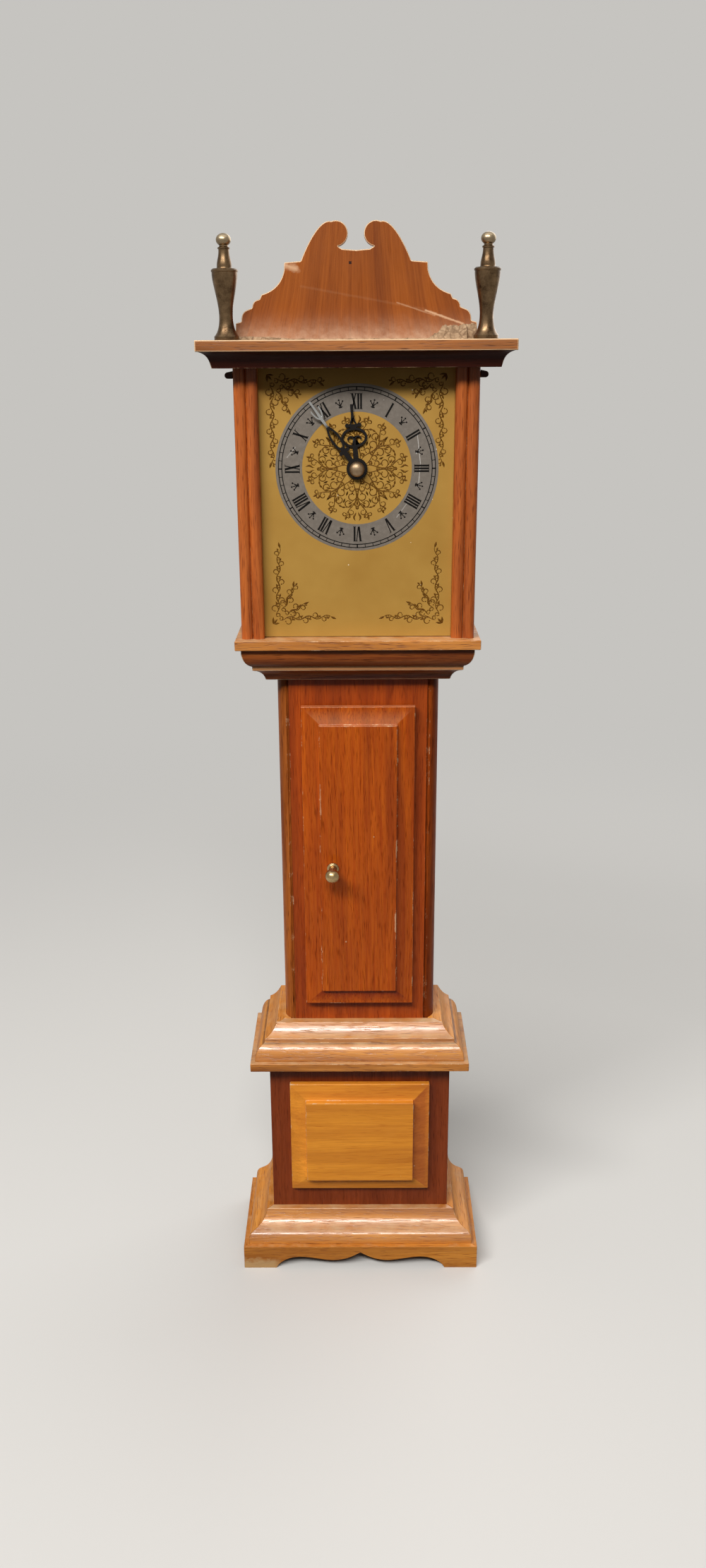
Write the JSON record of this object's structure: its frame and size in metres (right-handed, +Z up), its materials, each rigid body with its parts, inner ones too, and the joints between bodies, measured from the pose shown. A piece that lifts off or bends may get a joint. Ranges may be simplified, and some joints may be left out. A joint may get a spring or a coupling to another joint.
{
  "type": "miniature longcase clock",
  "caption": "Small free-standing wooden longcase clock with a moulded case, hinged trunk door, scrolled pediment, finials and a brass dial with pierced hands on a battery movement.",
  "frame": {"origin": "on the ground under the middle of the case", "axes": "+Z up, the dial faces -Y, +X to the right as seen from the front"},
  "size_m": [0.1102, 0.0522, 0.4243],
  "materials": {
    "pale_wood": "golden-tan stained and waxed",
    "dark_mahogany": "dark red-brown stain, satin",
    "mahogany": "reddish-brown stain, satin",
    "door_wood": "orange-brown stain, satin",
    "backboard": "bare thin board",
    "aged_brass": "aged, dulled polish",
    "dial_brass": "satin gold, printed",
    "black_steel": "black lacquer, worn at the tip",
    "black_plastic": "moulded, matt",
    "pale_plastic": "moulded, satin",
    "cell_sleeve": "plain sleeve, bright ends",
    "contact_steel": "plated spring strip",
    "coil_copper": "enamelled winding"
  },
  "bodies": {
    "case": {"plinth_front": "pale_wood", "plinth_left": "pale_wood", "plinth_right": "pale_wood", "base_front": "dark_mahogany", "base_side_left": "dark_mahogany", "base_side_right": "dark_mahogany", "base_back": "backboard", "base_ogee_front": "pale_wood", "base_ogee_left": "pale_wood", "base_ogee_right": "pale_wood", "base_panel": "pale_wood", "waist_board": "pale_wood", "waist_moulding_front": "pale_wood", "waist_moulding_left": "pale_wood", "waist_moulding_right": "pale_wood", "trunk_front": "mahogany", "trunk_corner_left": "mahogany", "trunk_corner_right": "mahogany", "trunk_side_left": "mahogany", "trunk_side_right": "mahogany", "trunk_back": "backboard", "hinge_upper_case_leaf": "aged_brass", "hinge_lower_case_leaf": "aged_brass", "neck_moulding_front": "pale_wood", "neck_moulding_left": "pale_wood", "neck_moulding_right": "pale_wood", "hood_floor": "pale_wood", "hood_post_left": "mahogany", "hood_post_right": "mahogany", "hood_side_left": "mahogany", "hood_side_right": "mahogany", "hood_back": "backboard", "hood_bead_left": "dark_mahogany", "hood_bead_right": "dark_mahogany", "cornice_front": "dark_mahogany", "cornice_left": "dark_mahogany", "cornice_right": "dark_mahogany", "hood_top_board": "pale_wood", "pediment": "mahogany", "finial_left": "aged_brass", "finial_right": "aged_brass", "dial_plate": "dial_brass", "dial_board": "backboard", "movement_case": "black_plastic", "movement_cover": "black_plastic", "battery": "cell_sleeve", "battery_contact_minus": "contact_steel", "battery_contact_plus": "contact_steel", "drive_coil": "coil_copper"},
    "door": {"trunk_door": "door_wood", "door_knob": "aged_brass", "hinge_upper_door_leaf": "aged_brass", "hinge_lower_door_leaf": "aged_brass"},
    "minute": {"minute_arbor": "aged_brass", "minute_hand": "black_steel", "hand_nut": "aged_brass"},
    "hour": {"hour_wheel": "pale_plastic", "hour_hand": "black_steel"},
    "setting": {"setting_wheel": "pale_plastic", "setting_knob": "pale_plastic"}
  },
  "joints": [
    {"name": "door_hinge", "type": "hinge", "parent": "case", "child": "door", "pos_m": [0.02145, -0.00426, 0.18705], "axis": [0, 0, 1], "range_deg": [0, 90]},
    {"name": "minute_turn", "type": "hinge", "parent": "case", "child": "minute", "pos_m": [0, -0.0104, 0.3421], "axis": [0, 1, 0], "continuous": true},
    {"name": "hour_turn", "type": "hinge", "parent": "case", "child": "hour", "pos_m": [0, -0.0104, 0.3421], "axis": [0, 1, 0], "continuous": true},
    {"name": "setting_turn", "type": "hinge", "parent": "case", "child": "setting", "pos_m": [0, -0.0104, 0.3501], "axis": [0, 1, 0], "continuous": true}
  ],
  "couplings": [
    {"joint": "hour_turn", "follows": "minute_turn", "ratio": 0.083333},
    {"joint": "setting_turn", "follows": "minute_turn", "ratio": -0.33333}
  ]
}
